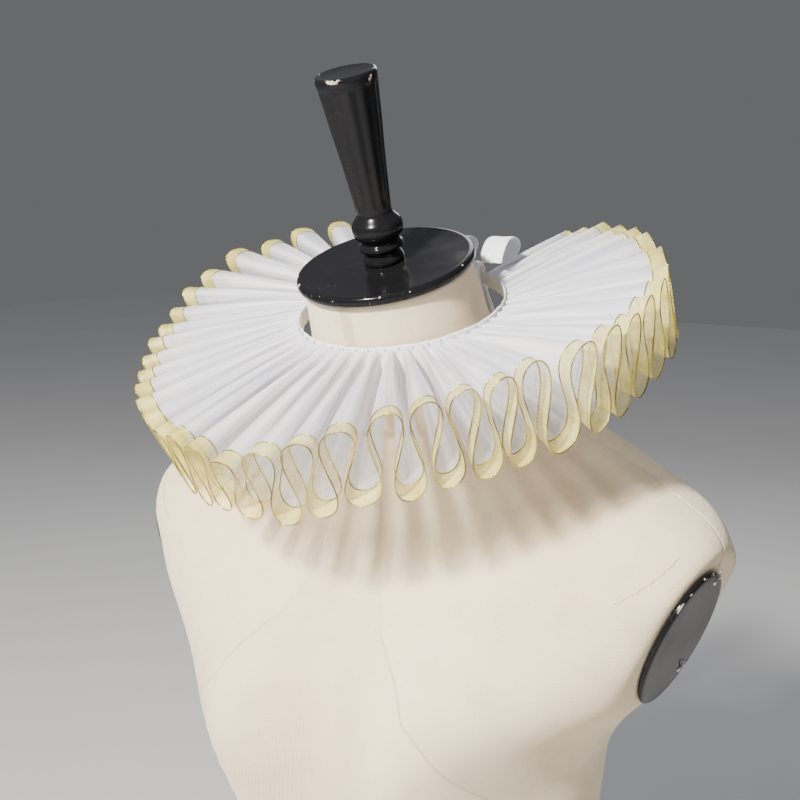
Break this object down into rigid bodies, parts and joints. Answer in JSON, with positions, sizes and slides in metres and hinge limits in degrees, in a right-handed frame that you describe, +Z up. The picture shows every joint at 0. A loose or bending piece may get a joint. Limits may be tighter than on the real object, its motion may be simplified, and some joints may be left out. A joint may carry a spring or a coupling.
{
  "type": "ruff collar on a dress form",
  "caption": "Ruff collar of sheer organza in tall figure-eight folds, edged with gold-threaded ribbon, tied round the leaning neck of a dress form.",
  "frame": {"origin": "on the underside of the base plate, below the middle of the form", "axes": "+Z up, -Y out of the front of the form, +X towards the wearer's left"},
  "size_m": [0.4208, 0.3242, 0.8163],
  "materials": {
    "organza": "sheer white organza, soft sheen",
    "ribbon": "sheer cream ribbon with a gold thread on each edge",
    "tape": "white cotton tape",
    "satin": "white satin ribbon",
    "linen": "cream linen stretched over the form",
    "lacquer": "black gloss lacquer, a little worn"
  },
  "bodies": {
    "root": {"ruff_frill": "organza", "edge_ribbon": "ribbon", "neckband": "tape", "tie_left": "satin", "tie_right": "satin", "bow_knot": "satin", "bow_loop_left": "satin", "bow_loop_right": "satin", "bow_tail_left": "satin", "bow_tail_right": "satin", "form_torso": "linen", "arm_plate_left": "lacquer", "arm_plate_right": "lacquer", "neck_cap": "lacquer", "finial": "lacquer", "base_plate": "lacquer"}
  },
  "joints": []
}
